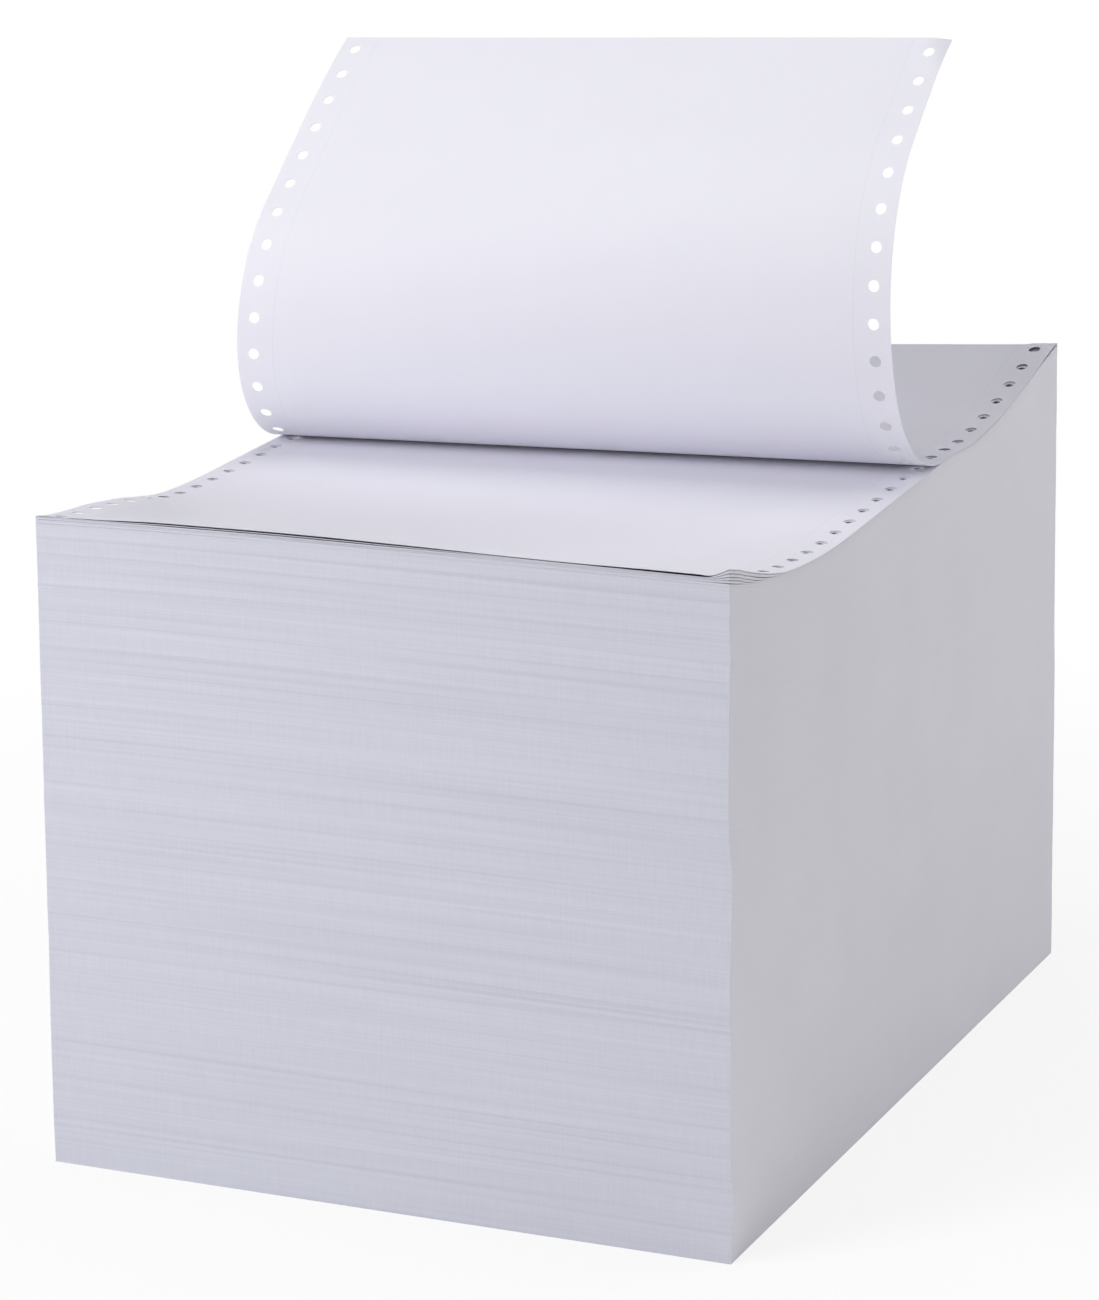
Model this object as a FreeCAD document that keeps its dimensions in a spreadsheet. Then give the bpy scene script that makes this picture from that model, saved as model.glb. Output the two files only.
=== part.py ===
"""Stack of continuous form paper: one fan-folded web with its first page curled up.

The web is 240 mm wide and folded every 12 inches into a block of some 2100 pages. Fold
ridges stand a little higher than the middle, so the top is a trough that runs from side
to side, deeper on the left. The first page lies on the back third of that trough and
curls up and back from there. Every page has 24 round sprocket holes along each side.

Frame: origin at the centre of the bottom face, +X along the folds to the right, +Y from
the front folds to the back folds, +Z up. Millimetres.
"""
import FreeCAD, Part
import math
import os

import Sketcher
from FreeCAD import Placement, Rotation, Vector

NODE = "continuous_form"
LEFT, RIGHT = "left", "right"

SIZES = [
    ("form_width", 240.0, "side edge to side edge, sprocket strips included"),
    ("page_length", 304.8, "fold to fold, 12 inches"),
    ("sheet_thickness", 0.1, "one page of 80 g/m2 paper"),
    ("hole_pitch", 12.7, "sprocket holes, centre to centre"),
    ("hole_diameter", 4.0, "sprocket hole"),
    ("hole_inset", 6.0, "side edge to hole centre"),
    ("first_hole", 6.35, "fold to the first hole centre"),
    ("contact_from_back", 111.0, "back folds to the line where the first page lifts off"),
    ("left_front_ridge", 222.6, "height of the front folds at the left"),
    ("right_front_ridge", 229.5, "height of the front folds at the right"),
    ("left_straight", 61.8, "straight stretch from there forward to the front rise, left"),
    ("right_straight", 86.8, "straight stretch, right"),
    ("left_rise_foot", 200.5, "height where that rise begins, left"),
    ("right_rise_foot", 212.9, "height where that rise begins, right"),
    ("left_contact", 196.8, "height where the first page lifts off, left"),
    ("right_contact", 213.0, "height where the first page lifts off, right"),
    ("left_back_ridge", 198.0, "height of the back folds at the left"),
    ("right_back_ridge", 222.7, "height of the back folds at the right"),
    ("bend_one_share", 60 / 204, "first stretch of the curl, as a share of its length"),
    ("bend_two_share", 60 / 204, "second stretch"),
    ("bend_three_share", 40 / 204, "third stretch; the fourth is what is left"),
    ("left_bend_one", 42.0, "bend radius of the first stretch, left"),
    ("left_bend_two", 51.0, "second stretch, left"),
    ("left_bend_three", 2500.0, "third stretch, left"),
    ("left_bend_four", 288.0, "fourth stretch, left"),
    ("right_bend_one", 46.0, "bend radius of the first stretch, right"),
    ("right_bend_two", 82.0, "second stretch, right"),
    ("right_bend_three", 64.0, "third stretch, right"),
    ("right_bend_four", 3000.0, "fourth stretch, right"),
    ("left_lean", 1.4, "degrees that the page's left edge leans inward"),
    ("right_lean", 2.0, "degrees that the page's right edge leans inward"),
    ("punch_depth", 2.0, "length of the punch that makes the curled page's holes"),
]
BENDS = ["one", "two", "three", "four"]
RIDGES = [f"{side}_{end}_ridge" for side in (LEFT, RIGHT) for end in ("front", "back")]
TOP_OF_FOLDS = "max({})".format("; ".join(f"Sizes.{ridge}" for ridge in RIDGES))


def make_sheet(doc):
    """Spreadsheet with one row per driving size: name, value, meaning."""
    sheet = doc.addObject("Spreadsheet::Sheet", "Sizes")
    for row, (alias, value, meaning) in enumerate(SIZES, start=1):
        sheet.set(f"A{row}", alias)
        sheet.set(f"B{row}", str(value))
        sheet.set(f"C{row}", meaning)
        sheet.setAlias(f"B{row}", alias)
    doc.recompute()
    return sheet


def top_of_folds(sheet):
    """Height of the highest fold ridge."""
    return max(sheet.get(ridge) for ridge in RIDGES)


class Outline:
    """A closed sketch outline, drawn edge by edge and tied to the spreadsheet."""

    def __init__(self, sketch):
        self.sketch = sketch

    def add(self, geometry, construction=False):
        return self.sketch.addGeometry(geometry, construction)

    def line(self, start, end, construction=False):
        return self.add(Part.LineSegment(start, end), construction)

    def arc(self, start, middle, end):
        return self.add(Part.Arc(start, middle, end))

    def end_at(self, edge, point):
        """Which end of an edge lies at a point: 1 for its start, 2 for its end."""
        ends = [self.sketch.getPoint(edge, k) for k in (1, 2)]
        return 1 if (ends[0] - point).Length < (ends[1] - point).Length else 2

    def tie(self, kind, *items):
        return self.sketch.addConstraint(Sketcher.Constraint(kind, *items))

    def join(self, first, second, point, kind="Coincident"):
        """Join two edges where they meet: coincident, tangent or perpendicular."""
        self.tie(kind, first, self.end_at(first, point), second, self.end_at(second, point))

    def bind(self, kind, items, value, expression):
        """Add a dimension with a value and tie it to an expression of the sheet."""
        index = self.tie(kind, *items, value)
        self.sketch.setExpression(f"Constraints[{index}]", expression)

    def place(self, edge, point, x_expression, y_expression):
        """Tie a corner to the expressions of its two coordinates."""
        corner = (edge, self.end_at(edge, point))
        origin = (-1, 1)
        sign, x_items = ("", origin + corner) if point.x >= 0 else ("-", corner + origin)
        self.bind("DistanceX", x_items, abs(point.x), f"{sign}({x_expression})")
        self.bind("DistanceY", origin + corner, point.y, y_expression)


def origin_feature(body, role):
    """One of the body's own origin planes or axes."""
    return next(f for f in body.Origin.OriginFeatures if f.Role == role)


def new_sketch(body, name, role):
    """Empty sketch on one of the body's own origin planes, and its outline."""
    sketch = body.newObject("Sketcher::SketchObject", name)
    sketch.AttachmentSupport = [(origin_feature(body, role), "")]
    sketch.MapMode = "FlatFace"
    return sketch, Outline(sketch)


def side_sketch(body, name, side):
    """Sketch in the plane of one side edge, with Y to the right and Z up."""
    sketch, out = new_sketch(body, name, "YZ_Plane")
    sign = "-" if side == LEFT else ""
    sketch.setExpression(".AttachmentOffset.Base.z", f"{sign}Sizes.form_width / 2")
    return sketch, out


def side_points(sheet, side):
    """Corners of the top's outline at one side, as (Y, Z) vectors."""
    half = sheet.page_length / 2
    contact_y = half - sheet.contact_from_back
    return {
        "back_ridge": Vector(half, sheet.get(f"{side}_back_ridge")),
        "contact": Vector(contact_y, sheet.get(f"{side}_contact")),
        "rise_foot": Vector(contact_y - sheet.get(f"{side}_straight"),
                            sheet.get(f"{side}_rise_foot")),
        "front_ridge": Vector(-half, sheet.get(f"{side}_front_ridge")),
    }


def right_of(direction):
    """Unit vector to the right of a direction of travel in the sketch plane."""
    return Vector(direction.y, -direction.x)


def turned(vector, angle):
    """A vector turned to the right by an angle in radians."""
    return Rotation(Vector(0, 0, 1), -math.degrees(angle)).multVec(vector)


def arc_from(start, direction, end):
    """Middle point of the arc that leaves start along direction and passes through end."""
    chord = end - start
    turn = 2 * math.atan2(direction.x * chord.y - direction.y * chord.x, direction.dot(chord))
    half_turned = Rotation(Vector(0, 0, 1), math.degrees(turn / 4)).multVec(direction)
    return start + half_turned * (chord.Length / (2 * math.cos(turn / 4)))


def stack_outline(body, sheet, side):
    """Side outline of the folded block, with the first page's step at the contact line."""
    sketch, out = side_sketch(body, f"StackOutline{side.capitalize()}", side)
    at = side_points(sheet, side)
    half = Vector(sheet.page_length / 2, 0)
    along = (at["rise_foot"] - at["contact"]).normalize()
    page_top = at["contact"] + right_of(along) * sheet.sheet_thickness

    bottom = out.line(-half, half)
    back = out.line(half, at["back_ridge"])
    lying = out.arc(at["back_ridge"], arc_from(page_top, -along, at["back_ridge"]), page_top)
    step = out.line(page_top, at["contact"])
    flat = out.line(at["contact"], at["rise_foot"])
    rise = out.arc(at["rise_foot"], arc_from(at["rise_foot"], along, at["front_ridge"]),
                   at["front_ridge"])
    front = out.line(at["front_ridge"], -half)

    out.join(bottom, back, half)
    out.join(back, lying, at["back_ridge"])
    out.join(lying, step, page_top, "Perpendicular")
    out.join(step, flat, at["contact"], "Perpendicular")
    out.join(flat, rise, at["rise_foot"], "Tangent")
    out.join(rise, front, at["front_ridge"])
    out.join(front, bottom, -half)
    out.tie("Vertical", back)
    out.tie("Vertical", front)
    out.tie("Horizontal", bottom)
    out.tie("PointOnObject", bottom, 1, -1)
    half_length = "Sizes.page_length / 2"
    contact_y = f"{half_length} - Sizes.contact_from_back"
    out.bind("DistanceX", (-1, 1, bottom, 2), half.x, half_length)
    out.bind("DistanceX", (bottom, 1, -1, 1), half.x, half_length)
    out.bind("DistanceY", (-1, 1, back, 2), at["back_ridge"].y, f"Sizes.{side}_back_ridge")
    out.bind("DistanceY", (-1, 1, front, 1), at["front_ridge"].y, f"Sizes.{side}_front_ridge")
    out.bind("Distance", (step,), sheet.sheet_thickness, "Sizes.sheet_thickness")
    out.place(flat, at["contact"], contact_y, f"Sizes.{side}_contact")
    out.place(flat, at["rise_foot"], f"{contact_y} - Sizes.{side}_straight",
              f"Sizes.{side}_rise_foot")
    return sketch


class Curl:
    """The raised part of the first page at one side edge, seen along X.

    It leaves the contact line in the direction of the page below and turns up and back
    through four bends. Radii and lengths are those of its back face.
    """

    def __init__(self, sheet, side):
        self.side = side
        self.thickness = sheet.sheet_thickness
        at = side_points(sheet, side)
        self.start = at["contact"]
        self.foot = at["rise_foot"]
        self.direction = (self.foot - self.start).normalize()
        self.length = sheet.page_length - sheet.contact_from_back
        self.radii = [sheet.get(f"{side}_bend_{bend}") for bend in BENDS]
        shares = [sheet.get(f"bend_{bend}_share") for bend in BENDS[:-1]]
        self.lengths = [self.length * share for share in shares + [1 - sum(shares)]]

    def front_arcs(self):
        """For each bend: start, middle and end on the front face, centre and angle."""
        point, direction = self.start, self.direction
        arcs = []
        for radius, length in zip(self.radii, self.lengths):
            angle = length / radius
            centre = point + right_of(direction) * (radius + self.thickness)
            spoke = point - centre
            middle, end = (centre + turned(spoke, angle * part) for part in (0.5, 1))
            arcs.append((point, middle, end, centre, angle))
            point, direction = end, turned(direction, angle)
        return arcs

    def at(self, distance):
        """Point and direction on the page's middle, a distance up from the contact line."""
        point, direction, left = self.start, self.direction, distance
        for radius, length in zip(self.radii, self.lengths):
            step = min(left, length)
            centre = point + right_of(direction) * radius
            point = centre + turned(point - centre, step / radius)
            direction = turned(direction, step / radius)
            left -= step
            if left <= 0:
                break
        return point + right_of(direction) * (self.thickness / 2), direction


def curl_outline(body, sheet, side):
    """Side outline of the raised page: two faces a sheet apart, bend by bend."""
    sketch, out = side_sketch(body, f"CurlOutline{side.capitalize()}", side)
    curl = Curl(sheet, side)
    arcs = curl.front_arcs()

    def inner(point, centre):
        return point + (centre - point).normalize() * curl.thickness

    guide = out.line(curl.foot, curl.start, construction=True)
    front = [out.arc(start, middle, end) for start, middle, end, _, _ in arcs]
    back = [out.arc(*(inner(point, centre) for point in (start, middle, end)))
            for start, middle, end, centre, _ in arcs]
    first_start, last_end = arcs[0][0], arcs[-1][2]
    root_top, tip_back = inner(first_start, arcs[0][3]), inner(last_end, arcs[-1][3])
    root = out.line(first_start, root_top)
    tip = out.line(last_end, tip_back)

    contact_y = "Sizes.page_length / 2 - Sizes.contact_from_back"
    out.place(guide, curl.foot, f"{contact_y} - Sizes.{side}_straight",
              f"Sizes.{side}_rise_foot")
    out.place(guide, curl.start, contact_y, f"Sizes.{side}_contact")
    out.join(guide, front[0], first_start, "Tangent")
    for index in range(1, len(arcs)):
        out.join(front[index - 1], front[index], arcs[index][0], "Tangent")
        out.join(back[index - 1], back[index], inner(arcs[index][0], arcs[index][3]))
    out.join(root, front[0], first_start, "Perpendicular")
    out.join(root, back[0], root_top)
    out.join(tip, front[-1], last_end)
    out.join(tip, back[-1], tip_back)
    out.bind("Distance", (root,), curl.thickness, "Sizes.sheet_thickness")
    rest = "1"
    for bend, outer_arc, inner_arc, radius, (_, _, _, _, angle) in zip(
            BENDS, front, back, curl.radii, arcs):
        size = f"Sizes.{side}_bend_{bend}"
        share = f"Sizes.bend_{bend}_share" if bend != BENDS[-1] else f"({rest})"
        rest += f" - {share}"
        length = f"(Sizes.page_length - Sizes.contact_from_back) * {share}"
        out.bind("Radius", (outer_arc,), radius + curl.thickness,
                 f"{size} + Sizes.sheet_thickness")
        for arc in (outer_arc, inner_arc):
            out.bind("Angle", (arc,), angle, f"{length} / {size} * 1 rad")
        out.tie("Coincident", outer_arc, 3, inner_arc, 3)
    return sketch


def loft(body, name, outlines):
    """Straight-ruled loft from the left outline to the right one."""
    feature = body.newObject("PartDesign::AdditiveLoft", name)
    feature.Profile = (outlines[0], [""])
    feature.Sections = [(outlines[1], [""])]
    feature.Ruled = True
    for outline in outlines:
        outline.Visibility = False
    return feature


def pocket(body, sketch, name, length_expression=None, both_ways=False):
    """Cut a sketch through all, or along its normal as far as an expression says."""
    before = body.Tip.Shape.Volume
    feature = body.newObject("PartDesign::Pocket", name)
    feature.Profile = sketch
    feature.Type = "Length" if length_expression else "ThroughAll"
    if length_expression:
        feature.setExpression("Length", length_expression)
    feature.Reversed = True
    feature.Midplane = both_ways
    sketch.Visibility = False
    body.Document.recompute()
    if not feature.Shape.Volume < before:
        raise RuntimeError(f"{name} cut nothing")
    return feature


def sprocket_rows(body, sheet, name, first_row, count, length_expression=None):
    """Upright hole columns on both sides, from one row on, a pitch apart along Y."""
    sketch, out = new_sketch(body, f"{name}Sketch", "XY_Plane")
    across = sheet.form_width / 2 - sheet.hole_inset
    along = sheet.first_hole + (first_row - 1) * sheet.hole_pitch - sheet.page_length / 2
    for sign in (-1, 1):
        circle = out.add(Part.Circle(Vector(sign * across, along), Vector(0, 0, 1),
                                     sheet.hole_diameter / 2))
        out.bind("Radius", (circle,), sheet.hole_diameter / 2, "Sizes.hole_diameter / 2")
        x_items = (-1, 1, circle, 3) if sign > 0 else (circle, 3, -1, 1)
        out.bind("DistanceX", x_items, across, "Sizes.form_width / 2 - Sizes.hole_inset")
        ahead = "Sizes.page_length / 2 - Sizes.first_hole"
        behind = f"Sizes.hole_pitch * {first_row - 1}"
        if along < 0:
            out.bind("DistanceY", (circle, 3, -1, 1), -along, f"{ahead} - {behind}")
        else:
            out.bind("DistanceY", (-1, 1, circle, 3), along, f"{behind} - ({ahead})")
    cut = pocket(body, sketch, f"{name}Pocket", length_expression)
    pattern = body.newObject("PartDesign::LinearPattern", name)
    pattern.Originals = [cut]
    pattern.Direction = (origin_feature(body, "Y_Axis"), [""])
    pattern.setExpression("Length", f"Sizes.hole_pitch * {count - 1}")
    pattern.Occurrences = count
    body.Tip = pattern
    body.Document.recompute()
    return pattern


def trim_edge(body, sheet, side):
    """Trim the raised page to its leaning side edge, a sliver off the loft's upright one."""
    sign = -1 if side == LEFT else 1
    edge = sign * sheet.form_width / 2
    foot = top_of_folds(sheet)
    rise = sheet.page_length
    spare = sheet.hole_inset
    inward = math.tan(math.radians(sheet.get(f"{side}_lean"))) * rise
    corners = [Vector(edge, foot), Vector(edge + sign * spare, foot),
               Vector(edge + sign * spare, foot + rise),
               Vector(edge - sign * inward, foot + rise)]

    sketch, out = new_sketch(body, f"{side.capitalize()}LeanSketch", "XZ_Plane")
    edges = [out.line(a, b) for a, b in zip(corners, corners[1:] + corners[:1])]
    for index, corner in enumerate(corners):
        out.join(edges[index - 1], edges[index], corner)
    for index, kind in enumerate(("Horizontal", "Vertical", "Horizontal")):
        out.tie(kind, edges[index])
    out.place(edges[0], corners[0], f"{sign} * Sizes.form_width / 2", TOP_OF_FOLDS)
    out.bind("Distance", (edges[0],), spare, "Sizes.hole_inset")
    out.bind("Distance", (edges[1],), rise, "Sizes.page_length")
    out.bind("Distance", (edges[2],), spare + inward,
             f"Sizes.hole_inset + tan(Sizes.{side}_lean * 1 deg) * Sizes.page_length")
    return pocket(body, sketch, f"{side.capitalize()}Lean", both_ways=True)


def punch_frames(sheet, count):
    """Placement of each punch through the raised page: square to it, an inset from its edge.

    The holes are counted from the page's free fold, one pitch apart along the page.
    """
    curls = {side: Curl(sheet, side) for side in (LEFT, RIGHT)}
    half = sheet.form_width / 2
    for row in range(count):
        distance = curls[LEFT].length - sheet.first_hole - row * sheet.hole_pitch
        on_page = {side: curl.at(distance) for side, curl in curls.items()}
        for side, other, sign in ((LEFT, RIGHT, -1), (RIGHT, LEFT, 1)):
            (point, direction), far = on_page[side], on_page[other][0]
            edge = Vector(sign * half, point.x, point.y)
            across = (Vector(-sign * half, far.x, far.y) - edge).normalize()
            lean = math.tan(math.radians(sheet.get(f"{side}_lean")))
            trimmed = lean * max(point.y - top_of_folds(sheet), 0.0)
            centre = edge + across * (trimmed + sheet.hole_inset)
            square = Vector(0, direction.x, direction.y).cross(across).normalize()
            base = centre - square * (sheet.punch_depth / 2)
            yield Placement(base, Rotation(Vector(0, 0, 1), square))


def make_punches(doc, sheet, count):
    """Cylinders that punch the raised page's sprocket holes."""
    punches = []
    for index, frame in enumerate(punch_frames(sheet, count), start=1):
        punch = doc.addObject("Part::Cylinder", f"Punch{index:02d}")
        punch.setExpression("Radius", "Sizes.hole_diameter / 2")
        punch.setExpression("Height", "Sizes.punch_depth")
        punch.Placement = frame
        punches.append(punch)
    group = doc.addObject("Part::Compound", "Punches")
    group.Links = punches
    return group


def make_web(doc, sheet):
    """The folded web: stack, sprocket columns, raised page and its trimmed side edges."""
    body = doc.addObject("PartDesign::Body", "FoldedWeb")
    rows = int((sheet.page_length - 2 * sheet.first_hole) / sheet.hole_pitch + 1.5)
    ahead = sheet.page_length - sheet.contact_from_back - sheet.first_hole
    clear_rows = int(ahead / sheet.hole_pitch)

    loft(body, "Stack", [stack_outline(body, sheet, side) for side in (LEFT, RIGHT)])
    doc.recompute()
    sprocket_rows(body, sheet, "FrontRows", 1, clear_rows)
    loft(body, "RaisedPage", [curl_outline(body, sheet, side) for side in (LEFT, RIGHT)])
    doc.recompute()
    sprocket_rows(body, sheet, "BackRows", clear_rows + 1, rows - clear_rows, TOP_OF_FOLDS)
    for side in (LEFT, RIGHT):
        trim_edge(body, sheet, side)
    return body, clear_rows


def check(doc):
    """Stop if any object of the document failed or holds a shape that isn't valid."""
    for item in doc.Objects:
        if {"Invalid", "Error"} & set(item.State):
            raise RuntimeError(f"{item.Label} failed: {item.State}")
        shape = getattr(item, "Shape", None)
        if item.Label == NODE and (shape is None or shape.isNull() or not shape.isValid()):
            raise RuntimeError(f"{item.Label} has no valid shape")


def main():
    doc = FreeCAD.newDocument("ContinuousForm")
    sheet = make_sheet(doc)
    web, clear_rows = make_web(doc, sheet)
    form = doc.addObject("Part::Cut", "Form")
    form.Label = NODE
    form.Base = web
    form.Tool = make_punches(doc, sheet, clear_rows)
    form.Placement = Placement()
    doc.recompute()
    check(doc)
    if len(form.Shape.Solids) != 1:
        raise RuntimeError(f"{NODE} is {len(form.Shape.Solids)} solids, not one")
    os.makedirs("parts", exist_ok=True)
    form.Shape.exportStep(f"parts/{form.Label}.step")
    print(f"{form.Label}: {form.Shape.Volume / 1000:.1f} cm3, {form.Shape.BoundBox}")


main()
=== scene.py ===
"""Looks of a stack of continuous form paper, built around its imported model.

The pile is one closed body of fan-folded pages: fold faces in front and behind, cut edges
at the sides, sprocket holes right through. A few thin packets of pages lie on it, a
little apart along the front and turned up at the front right corner. Over them lies the
end of the web in one piece: the first page, which curls up from the back third of the
pile, the back fold, the second page, the front fold and the start of the third.

Row frame: +X right along the folds, +Y from the front folds to the back, +Z up. Shapes
are worked out in millimetres and put into the meshes in metres.
"""
import logging
import math
from collections.abc import Callable
from dataclasses import dataclass, field
from enum import IntEnum
from functools import partial

import bpy
import numpy as np
from mathutils import Matrix, Vector


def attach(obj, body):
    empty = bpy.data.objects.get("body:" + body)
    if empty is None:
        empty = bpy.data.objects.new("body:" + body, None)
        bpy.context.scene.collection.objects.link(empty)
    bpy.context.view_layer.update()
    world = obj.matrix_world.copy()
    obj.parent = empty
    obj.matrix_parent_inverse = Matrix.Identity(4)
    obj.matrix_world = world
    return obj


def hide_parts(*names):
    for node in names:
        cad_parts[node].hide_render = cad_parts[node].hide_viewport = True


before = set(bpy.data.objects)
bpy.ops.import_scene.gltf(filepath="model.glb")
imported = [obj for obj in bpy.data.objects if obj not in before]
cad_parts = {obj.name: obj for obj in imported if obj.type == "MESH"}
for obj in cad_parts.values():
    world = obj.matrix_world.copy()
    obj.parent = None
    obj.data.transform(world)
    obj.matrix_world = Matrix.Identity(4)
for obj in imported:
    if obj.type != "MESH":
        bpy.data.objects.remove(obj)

LOG = logging.getLogger("continuous_form")
NODE, BODY, SLOT = "continuous_form", "root", "paper"
MM = 0.001
UV_NAME = "Lay"
MERGE = 1e-4
SHARP = math.radians(38)
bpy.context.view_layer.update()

Array = np.ndarray
Surface = Callable[[Array, Array], Array]
Object = bpy.types.Object
Socket = bpy.types.NodeSocket
Materials = list[bpy.types.Material]
Triple = tuple[float, float, float]
Waves = tuple[Triple, ...]


class Face(IntEnum):
    """What a face of a piece is, which is also its place in the piece's materials."""

    PAGE = 0
    FOLD = 1
    CUT = 2
    HOLE = 3


def smooth_step(value: Array, low: float, high: float) -> Array:
    """Runs from 0 at low to 1 at high as 3t^2 - 2t^3, with t the share of the way.

    Args:
        value: Where the step is read.
        low: Value at which it is 0.
        high: Value at which it is 1; it may be below low.

    Returns:
        The step at each value.
    """
    share = np.clip((value - low) / (high - low), 0, 1)
    return share * share * (3 - 2 * share)


@dataclass(frozen=True)
class Wander:
    """A smooth random height over a plane, from -1 to 1.

    Random heights on a lattice are joined by smooth steps along both axes.

    Attributes:
        step_a: Lattice spacing along the first coordinate.
        step_b: Lattice spacing along the second.
        seed: Which heights are drawn.
    """

    step_a: float
    step_b: float
    seed: int

    def at(self, a: Array, b: Array) -> Array:
        """Height at each point.

        Args:
            a: First coordinates.
            b: Second coordinates.

        Returns:
            Heights, in the shape that a and b broadcast to.
        """
        table = np.random.default_rng(self.seed).uniform(-1, 1, (61, 1021))
        rows, columns = table.shape
        p, q = np.broadcast_arrays(a / self.step_a, b / self.step_b)
        i, j = np.floor(p).astype(int), np.floor(q).astype(int)
        s, t = smooth_step(p - i, 0, 1), smooth_step(q - j, 0, 1)
        near, far = (
            table[(i + k) % rows, j % columns] * (1 - t)
            + table[(i + k) % rows, (j + 1) % columns] * t
            for k in (0, 1)
        )
        return near * (1 - s) + far * s


@dataclass(frozen=True)
class Web:
    """Sizes of the form itself, in millimetres.

    Attributes:
        width: Side edge to side edge.
        page: Fold to fold.
        sheet: Thickness of one page.
        pitch: Sprocket holes, centre to centre.
        hole: Diameter of a hole.
        inset: Side edge to hole centre.
        tear: Side edge to the tear-off perforation.
    """

    width: float = 240.0
    page: float = 304.8
    sheet: float = 0.1
    pitch: float = 12.7
    hole: float = 4.0
    inset: float = 6.0
    tear: float = 13.3

    @property
    def rows(self) -> int:
        """Number of holes along each side of a page."""
        return round(self.page / self.pitch)


WEB = Web()
HALF_W, HALF_P = WEB.width / 2, WEB.page / 2


def rise(y: Array, start: Array, slope: float, end: Array) -> Array:
    """Height of an arc that leaves start along a slope and comes up to end.

    Its centre lies on the upward normal at the start. The radius is the chord squared
    over twice the chord's part along that normal.

    Args:
        y: Where the height is read.
        start: (y, z) where the arc begins.
        slope: Rise over run there.
        end: (y, z) where it ends.

    Returns:
        Heights of the arc.
    """
    normal = np.array((-slope, 1.0)) / math.hypot(slope, 1.0)
    chord = np.subtract(end, start)
    radius = chord @ chord / (2 * chord @ normal)
    centre = start + normal * radius
    return centre[1] - np.sqrt(np.maximum(radius**2 - (y - centre[0]) ** 2, 0))


@dataclass(frozen=True)
class SideLine:
    """The lie of the pages at one side edge, in millimetres, seen along X.

    Attributes:
        front_ridge: Height of the front folds.
        foot_y: Where the rise up to them begins.
        foot: Height there.
        contact: Height where the first page lifts off.
        back_ridge: Height of the back folds.
        bends: Radii of the first page's four bends, from the contact up.
        lean: Degrees that its edge leans inward above the folds.
        contact_y: Where the first page lifts off.
        shares: Each bend's share of the raised length.
        sag: How far the pile's top sinks behind the contact.
        sag_knots: Where along Y the sag is full, begins to fade and has gone.
    """

    front_ridge: float
    foot_y: float
    foot: float
    contact: float
    back_ridge: float
    bends: tuple[float, ...]
    lean: float
    contact_y: float = 41.4
    shares: tuple[float, ...] = (60 / 204, 60 / 204, 40 / 204, 44 / 204)
    sag: float = 2.8
    sag_knots: Triple = (74, 88, 140)

    @property
    def slope(self) -> float:
        """Rise over run of the straight part between the rise's foot and the contact."""
        return (self.contact - self.foot) / (self.contact_y - self.foot_y)

    def height(self, y: Array) -> Array:
        """Height of the pile's top: an arc, a straight line, and another arc less the sag.

        Args:
            y: Where the height is read.

        Returns:
            Heights above the floor.
        """
        start, lift_off = np.array((self.foot_y, self.foot)), np.array((self.contact_y, self.contact))
        line = self.contact + (y - self.contact_y) * self.slope
        front = rise(y, start, self.slope, np.array((-HALF_P, self.front_ridge)))
        back = rise(y, lift_off, self.slope, np.array((HALF_P, self.back_ridge)))
        full, fade, gone = self.sag_knots
        back = back - self.sag * smooth_step(y, self.contact_y, full) * smooth_step(y, gone, fade)
        return np.where(y < self.foot_y, front, np.where(y > self.contact_y, back, line))

    def curl(self, up: Array) -> tuple[Array, Array]:
        """The first page's line from the contact up, as four arcs that join smoothly.

        Along an arc the direction turns by distance over radius, and the place is the
        integral of the direction.

        Args:
            up: Distances along the page from the contact.

        Returns:
            The y and z of each point.
        """
        heading = math.pi + math.atan(self.slope)
        y, z = np.full_like(up, self.contact_y), np.full_like(up, self.contact)
        raised, done = HALF_P + self.contact_y, 0.0
        for share, bend in zip(self.shares, self.bends):
            radius, length = bend + WEB.sheet / 2, share * raised
            last = done + length >= raised - 1e-6
            here = np.clip(up - done, 0, np.inf if last else length)
            y = y + radius * (math.sin(heading) - np.sin(heading - here / radius))
            z = z + radius * (np.cos(heading - here / radius) - math.cos(heading))
            heading, done = heading - length / radius, done + length
        return y, z


LEFT = SideLine(222.6, -20.4, 200.5, 196.8, 198.0, (42.0, 51.0, 2500.0, 288.0), 1.4)
RIGHT = SideLine(229.5, -45.4, 212.9, 213.0, 222.7, (46.0, 82.0, 64.0, 3000.0), 2.0)
FOLD_TOP = max(LEFT.front_ridge, RIGHT.front_ridge, LEFT.back_ridge, RIGHT.back_ridge)


CROWN = ((0, 40, 80, 150, 200, 240), (0.8, 1.5, 1.7, 1.4, 0.9, 0.5))
CROWN_DEPTH = 30.0


def pile_top(x: Array, y: Array) -> Array:
    """Height of the pile's top: straight lines from the left edge to the right one, crowned at the front.

    The springy front folds stand higher by CROWN, read across the width. It fades
    backward as exp(-(distance / CROWN_DEPTH)^2).

    Args:
        x: Places along the folds.
        y: Places from front to back.

    Returns:
        Heights in millimetres.
    """
    share = (x + HALF_W) / WEB.width
    behind = np.maximum(y + HALF_P, 0) / CROWN_DEPTH
    crown = np.interp(x + HALF_W, *CROWN) * np.exp(-behind**2)
    return LEFT.height(y) * (1 - share) + RIGHT.height(y) * share + crown


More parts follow.
